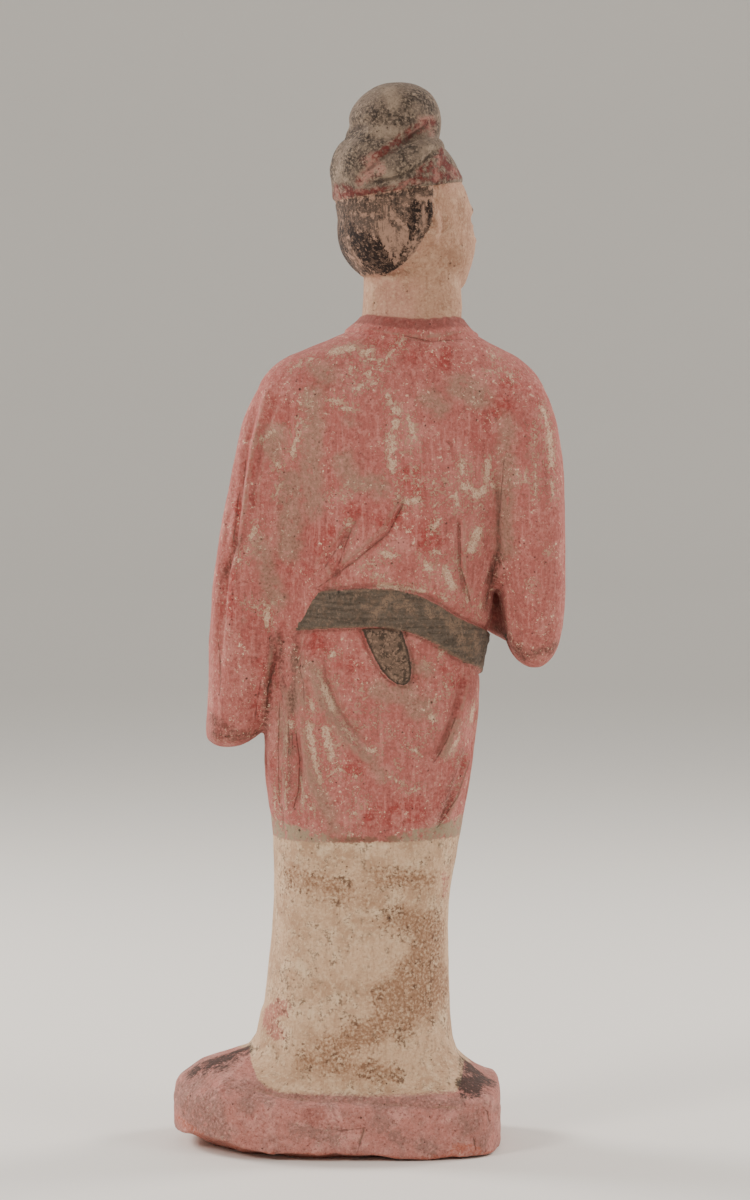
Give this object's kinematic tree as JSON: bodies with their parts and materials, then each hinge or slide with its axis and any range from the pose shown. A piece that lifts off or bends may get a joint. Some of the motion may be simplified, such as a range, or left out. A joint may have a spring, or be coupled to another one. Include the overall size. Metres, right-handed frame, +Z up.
{
  "type": "tomb attendant figure",
  "caption": "Standing attendant of painted pottery in a long belted robe and soft cap, head turned to one side, on a flat slab it rests on.",
  "frame": {"origin": "middle of the slab's flat underside", "axes": "+Z up, the robe's front towards -Y, the figure's right hand towards -X"},
  "size_m": [0.152, 0.0937, 0.4166],
  "materials": {
    "painted_pottery": "matt unglazed earthenware with worn pink, cream and black paint over a pale slip"
  },
  "bodies": {
    "root": {"attendant_figure": "painted_pottery"}
  },
  "joints": []
}
